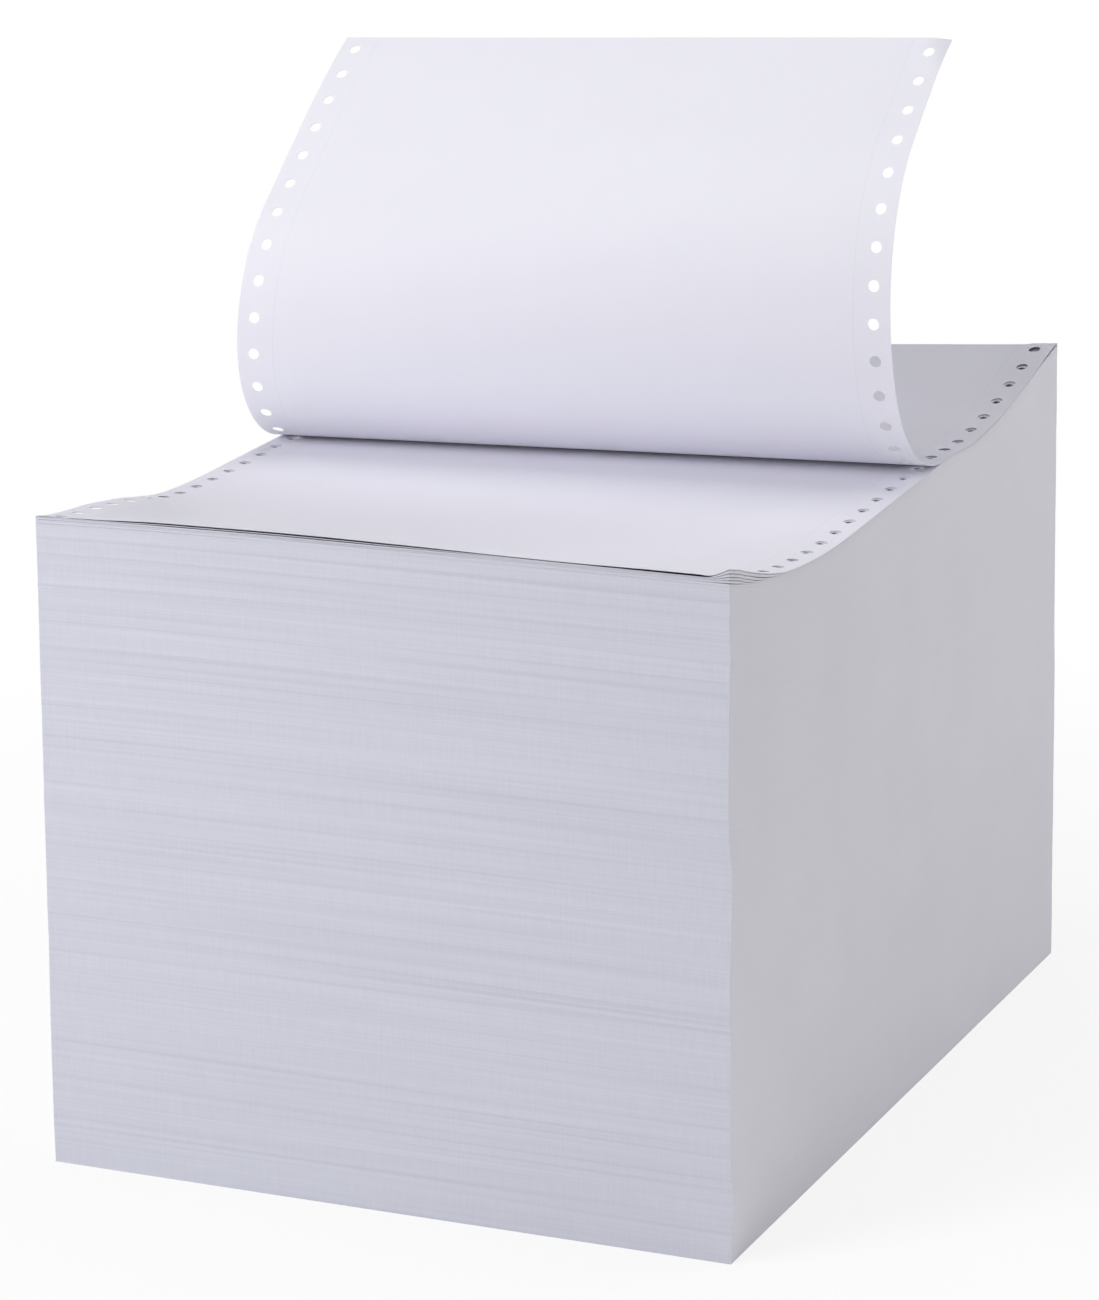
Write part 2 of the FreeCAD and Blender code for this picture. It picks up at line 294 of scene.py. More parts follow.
@dataclass(frozen=True)
class Gap:
    """The air under one layer near the front folds, in millimetres.

    Attributes:
        across: Distances from the left edge.
        heights: Gap at the front folds at each of them.
        depth: How far back the gap reaches, to a third of its height.
        corner: Extra gap at the turned-up front right corner.
        reach: How far back along the right edge the extra gap goes.
        margin: Width of the turned-up margin at the front folds.
        widening: How much wider the margin gets for each millimetre backward.
        steepness: Power of the curve across the margin.
        full: Share of the reach over which the extra gap stays full.
    """

    across: tuple[float, ...]
    heights: tuple[float, ...]
    depth: float
    corner: float
    reach: float
    margin: float = 7
    widening: float = 0.25
    steepness: float = 1.25
    full: float = 0.6

    def turned_up(self, x: Array, y: Array) -> Array:
        """Extra gap: a steep curve over a margin that widens backward, as far as the reach.

        Args:
            x: Places along the folds.
            y: Places from front to back.

        Returns:
            Gaps in millimetres.
        """
        behind = np.maximum(y + HALF_P, 0)
        margin = self.margin + self.widening * behind
        lift = np.clip(1 - (HALF_W - x) / margin, 0, 1) ** self.steepness
        return self.corner * lift * smooth_step(behind, self.reach, self.full * self.reach)

    def at(self, x: Array, y: Array) -> Array:
        """Gap at each point: the front gap fades backward as exp(-distance / depth), plus the corner's.

        Args:
            x: Places along the folds.
            y: Places from front to back.

        Returns:
            Gaps in millimetres.
        """
        behind = np.maximum(y + HALF_P, 0)
        front = np.interp(x + HALF_W, self.across, self.heights) * np.exp(-behind / self.depth)
        return front + self.turned_up(x, y)


@dataclass(frozen=True)
class Layer:
    """One layer at the top of the pile.

    Attributes:
        name: What its piece is called.
        thickness: Of the pressed pages, in millimetres.
        gap: The air under it.
        shift: How far its holes lie off the others, along X and Y.
    """

    name: str
    thickness: float
    gap: Gap
    shift: tuple[float, float] = (0.0, 0.0)


EVEN = (0.0, WEB.width)
LAYERS = (
    Layer("page_two", WEB.sheet, Gap(EVEN, (0.02, 0.02), 30, 0.05, 60)),
    Layer("page_three", WEB.sheet, Gap(
        (0, 18, 34, 100, 132, 160, 190, 212, 230, 236, 240),
        (0.02, 0.03, 0.34, 0.45, 0.34, 0.12, 0.16, 0.5, 0.55, 0.06, 0.02),
        26, 0.1, 56)),
    Layer("packet_a", 0.25, Gap(
        (0, 26, 46, 110, 150, 172, 240),
        (0.02, 0.02, 0.3, 0.32, 0.14, 0.02, 0.06),
        22, 0.9, 50), (0.7, -0.5)),
    Layer("packet_b", 0.3, Gap(
        (0, 60, 90, 120, 240),
        (0.02, 0.02, 0.1, 0.02, 0.03),
        16, 0.8, 36), (-0.4, -1.0)),
    Layer("packet_c", 0.35, Gap(EVEN, (0.02, 0.03), 12, 0.65, 25), (0.5, 0.5)),
    Layer("packet_d", 0.4, Gap(EVEN, (0.02, 0.03), 12, 0.6, 15), (-0.2, -0.4)),
    Layer("packet_e", 0.8, Gap(EVEN, (0.02, 0.04), 12, 0.0, 14), (0.3, -0.9)),
)
CLEAR = 0.02
PACK_HEIGHT = sum(layer.thickness + CLEAR for layer in LAYERS)


@dataclass(frozen=True)
class Swell:
    """A stretch of the left margin where the pages under page three lie low, or the two over them high.

    Attributes:
        height: Depth or height at the left edge, in millimetres.
        knots: Where along Y it begins, is full, begins to fade and has gone.
        across: How far it runs inward from the left edge.
        flat: How far inward it keeps its full height.
    """

    height: float
    knots: tuple[float, float, float, float]
    across: float = 34.0
    flat: float = 4.0

    def at(self, x: Array, y: Array) -> Array:
        """Height at each point: smooth steps at both ends along Y, and one inward.

        Args:
            x: Places along the folds.
            y: Places from front to back.

        Returns:
            Heights in millimetres.
        """
        begin, full, fade, gone = self.knots
        along = smooth_step(y, begin, full) * smooth_step(y, gone, fade)
        return self.height * along * smooth_step(x + HALF_W, self.across, self.flat)


BULGE = Swell(3.0, (-151, -109, -99, -54))
HOLLOW = Swell(1.8, (-134, -124, -93, -84))


def layer_top(index: int, x: Array, y: Array) -> Array:
    """Height of a top layer's upper face: the pile's top, less the layers over it, plus the air under it.

    Args:
        index: Place in LAYERS, or the number of layers for the pile below them.
        x: Places along the folds.
        y: Places from front to back.

    Returns:
        Heights in millimetres.
    """
    above = sum(layer.thickness + CLEAR for layer in LAYERS[:index])
    air = sum((layer.gap.at(x, y) for layer in LAYERS[index:]), np.zeros_like(x))
    margin = BULGE.at(x, y) if index < 2 else -HOLLOW.at(x, y)
    return pile_top(x, y) - above + air + margin


@dataclass(frozen=True)
class Drift:
    """How far the pages slid and the folds stand out, layer by layer, in millimetres.

    Attributes:
        levels: Heights in the pile.
        slides: How far the pages' front right corners lie to the right there.
        ease: Height over which the slides are averaged to round the steps between them.
        fold_waves: Spacing along X, spacing in height and size of each wave of the folds.
        cut_waves: The same for the cut edges, along Y.
    """

    levels: tuple[float, ...] = (0, 6, 20, 27, 31, 60, 95, 115, 134, 139, 165, 185, 200, 214, 224)
    slides: tuple[float, ...] = (0, 0.1, 0.6, 0.5, -0.2, 0.1, 0.1, 0.7, 0.75, -0.35, -0.4, -0.15, 0.3, 0.0, 0)
    ease: float = 5.0
    fold_waves: Waves = (
        (90, 26, 0.3), (120, 7.5, 0.12), (140, 2.6, 0.05), (60, 1.15, 0.022))
    cut_waves: Waves = (
        (110, 22, 0.16), (90, 5.0, 0.04), (80, 1.7, 0.012))

    def slide(self, level: Array) -> Array:
        """How far the front right corners at each level lie to the right, eased between the levels."""
        steps = np.linspace(-self.ease / 2, self.ease / 2, 11)
        return sum(np.interp(level + step, self.levels, self.slides) for step in steps) / len(steps)

    @staticmethod
    def stand_out(waves: Waves, along: Array, level: Array, seed: int) -> Array:
        """How far a wall stands out from its plane: a sum of smooth random waves.

        Args:
            waves: The wall's waves.
            along: Places along the wall.
            level: Heights in the pile.
            seed: What the first wave draws; each next wave takes the next.

        Returns:
            Distances in millimetres.
        """
        return sum(Wander(a, b, seed + n).at(along, level) * size for n, (a, b, size) in enumerate(waves))


DRIFT = Drift()


@dataclass(frozen=True)
class PageGrid:
    """A flat run of pages cut into quads, with round sprocket holes down both sides.

    Along each side is a row of square cells. In a cell, rings of points go from the
    round hole to the cell's edge. Plain columns fill the middle.

    Attributes:
        rows: Number of holes along the run.
        spokes: Points round a hole, eight times a whole number.
        columns: Number of columns between the two sides.
        rings: Each ring's share of the way from the hole to its cell's edge.
    """

    rows: int = WEB.rows
    spokes: int = 32
    columns: int = 24
    rings: tuple[float, ...] = (0, 0.18, 0.5, 1)

    @property
    def lines(self) -> Array:
        """Length coordinates of the lines across the page."""
        each = self.spokes // 4
        return np.arange(self.rows * each + 1) * WEB.pitch / each

    def cell(self) -> Array:
        """Quads of one cell about its hole, in rings from the round hole to the cell's edge.

        Returns:
            An array (quad, corner, 2).
        """
        count, half = self.spokes, np.array((WEB.inset, WEB.pitch / 2))
        turn = np.arange(count + 1) / count
        angle = 2 * math.pi * turn - math.pi / 4
        circle = np.stack((np.cos(angle), np.sin(angle)), -1) * WEB.hole / 2
        corners = np.array(((1, -1), (1, 1), (-1, 1), (-1, -1), (1, -1))) * half
        edge = np.stack([np.interp(turn * 4, range(5), corners[:, k]) for k in (0, 1)], -1)
        rings = np.stack([circle * (1 - share) + edge * share for share in self.rings])
        return patches(rings)

    def quads(self) -> Array:
        """All quads of the run, counter-clockwise: two rows of cells and the plain middle.

        Returns:
            An array (quad, corner, 2).
        """
        cell = self.cell()
        middles = WEB.pitch * (np.arange(self.rows) + 0.5)
        sides = [
            (cell[None] + np.stack((np.full(self.rows, u), middles), -1)[:, None, None]).reshape(-1, 4, 2)
            for u in (WEB.inset, WEB.width - WEB.inset)
        ]
        across = np.linspace(2 * WEB.inset, WEB.width - 2 * WEB.inset, self.columns + 1)
        return np.concatenate(sides + [patches(np.stack(np.meshgrid(across, self.lines, indexing="ij"), -1))])


def patches(points: Array) -> Array:
    """Quads between the points of a grid (row, column, 2), as (quad, corner, 2)."""
    quads = np.stack((points[:-1, :-1], points[1:, :-1], points[1:, 1:], points[:-1, 1:]), 2)
    return quads.reshape(-1, 4, 2)


def rim_edges(quads: Array) -> Array:
    """Edges that belong to one quad only, each in that quad's direction.

    Args:
        quads: (quad, corner, 2).

    Returns:
        An array (edge, 2, 2) of start and end points.
    """
    flat = np.round(quads.reshape(-1, 2) / MERGE).astype(np.int64)
    _, index = np.unique(flat, axis=0, return_inverse=True)
    index = index.reshape(-1, 4)
    starts, ends = index.ravel(), np.roll(index, -1, axis=1).ravel()
    count = index.max() + 1
    lone = ~np.isin(starts * count + ends, ends * count + starts)
    places = np.stack((quads, np.roll(quads, -1, axis=1)), 2).reshape(-1, 2, 2)
    return places[lone]


def new_object(name: str, data: bpy.types.ID) -> Object:
    """Adds an object to the scene.

    Args:
        name: What it is called.
        data: Its mesh, lamp or camera.

    Returns:
        The object.
    """
    made = bpy.data.objects.new(name, data)
    bpy.context.scene.collection.objects.link(made)
    return made


@dataclass
class Shell:
    """Quads gathered for one piece, in millimetres, until they are made a mesh."""

    places: list[Array] = field(default_factory=list)
    maps: list[Array] = field(default_factory=list)
    kinds: list[Array] = field(default_factory=list)

    def add(self, places: Array, maps: Array, kind: Face) -> None:
        """Adds quads of one kind.

        Args:
            places: (quad, corner, 3), counter-clockwise from outside.
            maps: (quad, corner, 2), the quads' place in the UV map.
            kind: What the faces are.
        """
        self.places.append(places)
        self.maps.append(maps)
        self.kinds.append(np.full(len(places), int(kind)))

    def skin(self, quads: Array, upper: Surface, lower: Surface) -> None:
        """Adds the two faces of a sheet and the walls of its holes.

        Args:
            quads: Flat quads (quad, corner, 2).
            upper: Maps flat coordinates to the upper face.
            lower: Maps them to the lower face.
        """
        u, v = quads[..., 0], quads[..., 1]
        self.add(upper(u, v), quads, Face.PAGE)
        self.add(lower(u, v)[:, ::-1], quads[:, ::-1], Face.PAGE)
        edges = rim_edges(quads)
        inner = (edges[..., 0].min(1) > MERGE) & (edges[..., 0].max(1) < WEB.width - MERGE)
        inner &= np.abs(edges[:, 0, 1] - edges[:, 1, 1]) > 0
        hole = inner & (np.abs(edges[..., 0] - HALF_W).min(1) > HALF_W - WEB.inset - WEB.hole)
        self.rims(edges[hole], upper, lower, Face.HOLE)
        self.rims(edges[inner & ~hole], upper, lower, Face.FOLD)

    def rims(self, edges: Array, upper: Surface, lower: Surface, kind: Face) -> None:
        """Adds a wall under each edge, from the upper face down to the lower one.

        Args:
            edges: (edge, 2, 2) flat start and end points, the sheet on their left.
            upper: Maps flat coordinates to the upper face.
            lower: Maps them to the lower face.
            kind: What the faces are.
        """
        if not len(edges):
            return
        low, top = (surface(edges[..., 0], edges[..., 1]) for surface in (lower, upper))
        places = np.concatenate((low, top[:, ::-1]), 1)
        along = edges.sum(-1)
        maps = np.stack((np.concatenate((along, along[:, ::-1]), 1), places[..., 2]), -1)
        self.add(places, maps, kind)

    def piece(self, name: str, finishes: Materials) -> Object:
        """Joins the quads into one mesh, in metres, with its UV map and materials.

        Args:
            name: The piece's name.
            finishes: A material for each kind of face, in the order of Face.

        Returns:
            The new object, linked to the scene.
        """
        corners = np.concatenate(self.places).reshape(-1, 3)
        _, first, index = np.unique(
            np.round(corners / MERGE).astype(np.int64), axis=0, return_index=True, return_inverse=True)
        count = len(index) // 4
        mesh = bpy.data.meshes.new(name)
        mesh.vertices.add(len(first))
        mesh.vertices.foreach_set("co", (corners[first] * MM).astype(np.float32).ravel())
        mesh.loops.add(len(index))
        mesh.loops.foreach_set("vertex_index", index.astype(np.int32).ravel())
        mesh.polygons.add(count)
        mesh.polygons.foreach_set("loop_start", np.arange(count, dtype=np.int32) * 4)
        mesh.polygons.foreach_set("material_index", np.concatenate(self.kinds).astype(np.int32))
        mesh.polygons.foreach_set("use_smooth", np.ones(count, bool))
        mesh.update(calc_edges=True)
        layer = mesh.uv_layers.new(name=UV_NAME)
        layer.uv.foreach_set("vector", (np.concatenate(self.maps) * MM).astype(np.float32).ravel())
        mesh.set_sharp_from_angle(angle=SHARP)
        for finish in finishes:
            mesh.materials.append(finish)
        return new_object(name, mesh)


def split_rims(quads: Array) -> tuple[Array, Array]:
    """Outer edges of a run of pages.

    Args:
        quads: Its flat quads (quad, corner, 2).

    Returns:
        The edges along its ends and those along its sides, each (edge, 2, 2).
    """
    edges = rim_edges(quads)
    side = np.abs(np.abs(edges[..., 0] - HALF_W) - HALF_W).max(1) < MERGE
    low, high = edges[..., 1].min(), edges[..., 1].max()
    end = np.minimum(np.abs(edges[..., 1] - low), np.abs(edges[..., 1] - high)).max(1) < MERGE
    return edges[end], edges[side]


def sheet(name: str, grid: PageGrid, upper: Surface, lower: Surface,
          finishes: Materials) -> Object:
    """Makes a closed sheet: two faces, hole walls, folded ends and cut sides.

    Args:
        name: The piece's name.
        grid: Its flat grid.
        upper: Maps flat coordinates to the upper face.
        lower: Maps them to the lower face.
        finishes: A material for each kind of face.

    Returns:
        The new object.
    """
    shell, quads = Shell(), grid.quads()
    shell.skin(quads, upper, lower)
    ends, sides = split_rims(quads)
    shell.rims(ends, upper, lower, Face.FOLD)
    shell.rims(sides, upper, lower, Face.CUT)
    return shell.piece(name, finishes)


def hand_over(piece: Object) -> None:
    """Lets a piece stand for the CAD node and reports it.

    Args:
        piece: The piece's object.
    """
    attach(piece, BODY)
    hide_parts(NODE)
    LOG.info("%s: %d faces", piece.name, len(piece.data.polygons))


@dataclass
class Packets:
    """The few thin packets of pages between the pile and the end of the web.

    Attributes:
        finishes: A material for each kind of face.
        grid: The flat grid of each packet.
        fill: How much of the corner's gaps the fanned pages take up.
        jut: How far the folds of a packet stand in or out at most.
        ends: How far inward from the folds they do.
        rim: How far inward, along X and Y, a packet eases into its shift.
    """

    finishes: Materials
    grid: PageGrid = PageGrid()
    fill: float = 0.75
    jut: float = 0.12
    ends: float = 6.0
    rim: tuple[float, float] = (3.9, 4.2)

    def build(self) -> list[Object]:
        """Makes each packet a closed sheet that follows the layers over and under it."""
        return [self.packet(index) for index in range(2, len(LAYERS))]

    def packet(self, index: int) -> Object:
        """Makes the packet with that place in LAYERS."""
        upper, lower = (partial(self.face, index=index, under=under) for under in (False, True))
        return sheet(LAYERS[index].name, self.grid, upper, lower, self.finishes)

    def face(self, u: Array, v: Array, index: int, under: bool) -> Array:
        """One face of a packet: the layer's top, or the packet's thickness below it.

        Args:
            u: Distances from the left edge.
            v: Distances from the front folds.
            index: The packet's place in LAYERS.
            under: Whether it is the lower face.

        Returns:
            Places (…, 3) in millimetres.
        """
        layer, wave = LAYERS[index], Wander(70, 1, 40 + index)
        x, y = u - HALF_W, v - HALF_P
        z = layer_top(index, x, y)
        if under:
            z = z - (layer.thickness + self.fill * layer.gap.turned_up(x, y))
        near = smooth_step(v, self.ends, 0) - smooth_step(v, WEB.page - self.ends, WEB.page)
        side, end = np.minimum(u, WEB.width - u), np.minimum(v, WEB.page - v)
        inside = smooth_step(np.minimum(side / self.rim[0], end / self.rim[1]), 0, 1)
        across, along = (inside * shift for shift in layer.shift)
        return np.stack((x + across, y + along - self.jut * near * wave.at(x, np.zeros_like(x)), z), -1)


@dataclass
class Pile:
    """The body of the pile, below its top layers.

    Attributes:
        finishes: A material for each kind of face.
        grid: The flat grid of its top and its underside.
        rows: Rows of faces up its four walls.
        round_off: How far from a corner the drift of its two walls fades.
        still: Share of the height at the top and the bottom over which it fades too.
        slid: How far inward, along X and Y, the slide of the front right corner goes.
        seeds: What the waves of the back, front, right and left wall draw.
    """

    finishes: Materials
    grid: PageGrid = PageGrid(spokes=16)
    rows: int = 330
    round_off: float = 7.0
    still: float = 0.004
    slid: tuple[float, float] = (45, 130)
    seeds: tuple[int, ...] = (200, 100, 300, 400)

    def top(self, u: Array, v: Array) -> Array:
        """Upper face, at the bottom of the layers that lie on it."""
        x, y = u - HALF_W, v - HALF_P
        return np.stack((x, y, layer_top(len(LAYERS), x, y)), -1)

    def underside(self, u: Array, v: Array) -> Array:
        """Lower face, flat on the floor."""
        return np.stack((u - HALF_W, v - HALF_P, np.zeros_like(u)), -1)

    def wall(self, edges: Array, kind: Face) -> tuple[Array, Array]:
        """Grid of quads under a line of outer edges, with the drift of the layers.

        A point's level is its share of the height times the pile's mean height. Folds
        stand out along Y and cut edges along X, and at the pile's corners the two fade
        into each other. At the front right corner the pages also slid along X.

        Args:
            edges: (edge, 2, 2) flat start and end points.
            kind: Face.FOLD or Face.CUT.

        Returns:
            Places (quad, corner, 3) and UV map (quad, corner, 2).
        """
        share = np.linspace(0, 1, self.rows + 1)
        u, v = (edges[:, None, :, k] * np.ones((1, self.rows, 1)) for k in (0, 1))
        low, high = share[None, :-1, None], share[None, 1:, None]
        u, v = (np.concatenate((w, w[..., ::-1]), -1) for w in (u, v))
        part = np.concatenate((low + 0 * u[..., :2], high + 0 * u[..., :2]), -1)
        top = self.top(u, v)
        x, y, z = top[..., 0], top[..., 1], top[..., 2] * part
        mean = (LEFT.front_ridge + RIGHT.front_ridge) / 2 - PACK_HEIGHT
        level = part * mean
        loose = smooth_step(part, 0, self.still) * smooth_step(part, 1, 1 - self.still)
        near = self.round_off
        front, back = smooth_step(v, near, 0), smooth_step(v, WEB.page - near, WEB.page)
        left, right = smooth_step(u, near, 0), smooth_step(u, WEB.width - near, WEB.width)
        folds = [DRIFT.stand_out(DRIFT.fold_waves, x, level, seed) for seed in self.seeds[:2]]
        cuts = [DRIFT.stand_out(DRIFT.cut_waves, y, level, seed) for seed in self.seeds[2:]]
        shift_y, shift_x = back * folds[0] - front * folds[1], right * cuts[0] - left * cuts[1]
        slid_x, slid_y = self.slid
        corner = smooth_step(u, WEB.width - slid_x, WEB.width) * smooth_step(v, slid_y, 0)
        shift_x += DRIFT.slide(level) * corner
        places = np.stack((x + shift_x * loose, y + shift_y * loose, z), -1)
        maps = np.stack((u if kind is Face.FOLD else v, level), -1)
        return places.reshape(-1, 4, 3), maps.reshape(-1, 4, 2)

    def build(self) -> Object:
        """Makes the closed body: top, underside, hole walls and four outer walls.

        Returns:
            The pile's object.
        """
        shell, quads = Shell(), self.grid.quads()
        shell.skin(quads, self.top, self.underside)
        ends, sides = split_rims(quads)
        shell.add(*self.wall(ends, Face.FOLD), Face.FOLD)
        shell.add(*self.wall(sides, Face.CUT), Face.CUT)
        return shell.piece("pile", self.finishes)


@dataclass
class EndOfWeb:
    """The web's end in one piece: page one, page two and the start of page three.

    Its length coordinate runs from the free edge at the top of the curl.

    Attributes:
        finishes: A material for each kind of face.
        third_rows: Holes along the part of page three that is made.
        corner: How far the bent corner runs along the free edge, in millimetres.
        slant: How much it shortens for each millimetre down the page.
        bend: How far it bends, along X, Y and Z, for each square millimetre past its crease.
        lean_in: How far inward from a side edge the lean stays full.
        air: Height of the air under the lying part, how fast it opens from the fold, and
            how far behind the contact it is full.
        strip: Height of the loose strip at the back right, where it is full, from the
            right edge, and where it begins and is full, from the back fold.
    """

    finishes: Materials
    third_rows: int = 5
    corner: float = 9.0
    slant: float = 0.45
    bend: Triple = (-0.002, 0.03, -0.016)
    lean_in: float = 12.0
    air: Triple = (0.16, 2.5, 25)
    strip: tuple[float, float, float, float] = (0.9, 8, 26, 4)

    def page_one(self, u: Array, v: Array) -> Array:
        """Page one: level with the pile as far as the contact, then the curl.

        Between the side edges the page runs straight. Above the folds its edges lean
        inward in proportion to height.

        Args:
            u: Distances from the left edge.
            v: Distances from the free edge.

        Returns:
            Places (…, 3) in millimetres.
        """
        up = HALF_P + LEFT.contact_y - v
        share = u / WEB.width
        (ly, lz), (ry, rz) = (side.curl(np.maximum(up, 0)) for side in (LEFT, RIGHT))
        lean_l = math.tan(math.radians(LEFT.lean)) * np.maximum(lz - FOLD_TOP, 0)
        lean_r = math.tan(math.radians(RIGHT.lean)) * np.maximum(rz - FOLD_TOP, 0)
        low, high = self.lean_in, WEB.width - self.lean_in
        x = u - HALF_W + lean_l * smooth_step(u, high, low) - lean_r * smooth_step(u, low, high)
        y, z = ly * (1 - share) + ry * share, lz * (1 - share) + rz * share
        raised = np.stack((x, y, z), -1) + self.bent_corner(u, v)
        lying_y = v - HALF_P
        lying_z = pile_top(u - HALF_W, np.maximum(lying_y, LEFT.contact_y))
        back = np.clip(HALF_P - lying_y, 0, None)
        air, opening, full = self.air
        open_up = air * (1 - np.exp(-back / opening)) * smooth_step(up, 0, -full)
        height, inner, begin, end = self.strip
        strip = smooth_step(u, WEB.width - WEB.tear, WEB.width - inner) * smooth_step(back, begin, end)
        flat = np.stack((u - HALF_W, lying_y, lying_z + open_up + height * strip), -1)
        return np.where((up < 0)[..., None], flat, raised)

    def bent_corner(self, u: Array, v: Array) -> Array:
        """The free edge's right corner, bent back and down past a slanting crease."""
        past = np.clip(self.corner - (WEB.width - u) - self.slant * v, 0, None)
        return past[..., None] ** 2 * np.array(self.bend)

    def page_two(self, u: Array, v: Array) -> Array:
        """Page two, from the back fold at 0 forward: the top layer's middle.

        Args:
            u: Distances from the left edge.
            v: Distances from the back fold.

        Returns:
            Places (…, 3) in millimetres.
        """
        x, y = u - HALF_W, HALF_P - v
        edge = 0.5 * WEB.sheet
        near = np.exp(-v / self.air[1])
        return np.stack((x, y, layer_top(0, x, y) - edge - CLEAR * (1 - near) + near * edge), -1)

    def page_three(self, u: Array, v: Array) -> Array:
        """Page three, from the front fold at 0 backward: the second layer's middle."""
        x, y = u - HALF_W, v - HALF_P
        return np.stack((x, y, layer_top(1, x, y) - 0.5 * WEB.sheet), -1)

    def middle(self, u: Array, v: Array) -> Array:
        """The web's middle surface over its whole length: where two pages meet, their mean.

        Args:
            u: Distances from the left edge.
            v: Distances from the free edge.

        Returns:
            Places (…, 3) in millimetres.
        """
        one = self.page_one(u, np.minimum(v, WEB.page))
        two = self.page_two(u, np.clip(v - WEB.page, 0, WEB.page))
        three = self.page_three(u, np.maximum(v - 2 * WEB.page, 0))
        pages = np.where((v > WEB.page)[..., None], two, one)
        pages = np.where((v > 2 * WEB.page)[..., None], three, pages)
        for fold, before, after in ((WEB.page, one, two), (2 * WEB.page, two, three)):
            crease = np.abs(v - fold) < MERGE
            pages = np.where(crease[..., None], (before + after) / 2, pages)
        return pages

    def face(self, u: Array, v: Array, side: float) -> Array:
        """One face of the web: the middle plus half a sheet along the normal.

        The normal is the cross product of the surface's changes along u and v.

        Args:
            u: Distances from the left edge.
            v: Distances from the free edge.
            side: 1 for the upper face of page one, -1 for the other.

        Returns:
            Places (…, 3) in millimetres.
        """
        step, end = 0.3, (2 + self.third_rows / WEB.rows) * WEB.page
        du = self.middle(np.minimum(u + step, WEB.width), v) - self.middle(np.maximum(u - step, 0), v)
        dv = self.middle(u, np.minimum(v + step, end)) - self.middle(u, np.maximum(v - step, 0))
        normal = np.cross(du, dv)
        normal /= np.linalg.norm(normal, axis=-1, keepdims=True)
        return self.middle(u, v) + normal * side * WEB.sheet / 2

    def build(self) -> Object:
        """Makes the web's end a closed sheet with its true thickness.

        Returns:
            Its object.
        """
        upper, lower = (partial(self.face, side=side) for side in (1, -1))
        grid = PageGrid(rows=2 * WEB.rows + self.third_rows)
        return sheet("end_of_web", grid, upper, lower, self.finishes)


class Value:
    """A number socket with arithmetic: each operation adds a Math node."""

    def __init__(self, tree: "Tree", socket: Socket) -> None:
        """Keeps the node tree and the socket."""
        self.tree, self.socket = tree, socket

    def maths(self, operation: str, *others: "Value | float", first: bool = True) -> "Value":
        """Adds a Math node.

        Args:
            operation: The node's operation.
            others: The other operands.
            first: Whether this value is the first operand or the second.

        Returns:
            The node's result.
        """
        operands = (self, *others) if first else (*others, self)
        return self.tree.number("Math", {"operation": operation}, dict(enumerate(operands)))

    def __add__(self, other: "Value | float") -> "Value":
        """Sum."""
        return self.maths("ADD", other)

    def __sub__(self, other: "Value | float") -> "Value":
        """Difference."""
        return self.maths("SUBTRACT", other)

    def __rsub__(self, other: float) -> "Value":
        """Difference from a number."""
        return self.maths("SUBTRACT", other, first=False)

    def __mul__(self, other: "Value | float") -> "Value":
        """Product."""
        return self.maths("MULTIPLY", other)

    def __truediv__(self, other: "Value | float") -> "Value":
        """Quotient."""
        return self.maths("DIVIDE", other)

    __radd__ = __add__

    def size(self) -> "Value":
        """Size without its sign."""
        return self.maths("ABSOLUTE")

    def held(self) -> "Value":
        """Kept between 0 and 1."""
        return self.maths("MINIMUM", 1.0).maths("MAXIMUM", 0.0)

    def rest(self, length: float) -> "Value":
        """What is left over past whole lengths."""
        return self.maths("FLOORED_MODULO", length)


